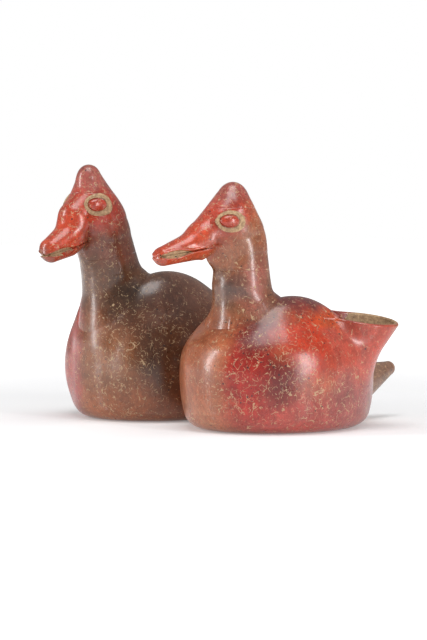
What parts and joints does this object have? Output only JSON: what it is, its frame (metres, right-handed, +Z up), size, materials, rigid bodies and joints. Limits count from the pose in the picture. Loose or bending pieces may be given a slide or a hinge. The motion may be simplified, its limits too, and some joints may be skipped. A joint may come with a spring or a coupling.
{
  "type": "duck effigy vessel",
  "caption": "Double effigy vessel of two joined hollow ducks with crested heads, open bills, cone tails and a flared spout.",
  "frame": {"origin": "on the floor, in the middle of the box round the vessel", "axes": "+Z up; both ducks face -Y, so each duck's left side and the spout are on the +X side"},
  "size_m": [0.2792, 0.267, 0.206],
  "materials": {
    "near_slip": "burnished orange-red slip, satin gloss",
    "far_slip": "burnished chocolate brown slip, satin gloss",
    "head_slip": "burnished red slip, satin gloss",
    "brown_slip": "rubbed brown slip, satin",
    "worn_clay": "worn tan clay, matt"
  },
  "bodies": {
    "root": {"near_body_bowl": "near_slip", "near_body_upper": "near_slip", "near_neck": "near_slip", "near_head": "head_slip", "near_crest": "head_slip", "near_upper_bill": "head_slip", "near_lower_bill": "head_slip", "near_left_eye_pellet": "head_slip", "near_left_eye_ring": "worn_clay", "near_right_eye_pellet": "head_slip", "near_right_eye_ring": "worn_clay", "near_tail": "brown_slip", "far_body_bowl": "far_slip", "far_body_upper": "far_slip", "far_neck": "far_slip", "far_head": "head_slip", "far_crest": "head_slip", "far_upper_bill": "head_slip", "far_lower_bill": "head_slip", "far_left_eye_pellet": "head_slip", "far_left_eye_ring": "worn_clay", "far_right_eye_pellet": "head_slip", "far_right_eye_ring": "worn_clay", "far_tail": "brown_slip", "spout": "near_slip", "join_coil": "far_slip"}
  },
  "joints": []
}
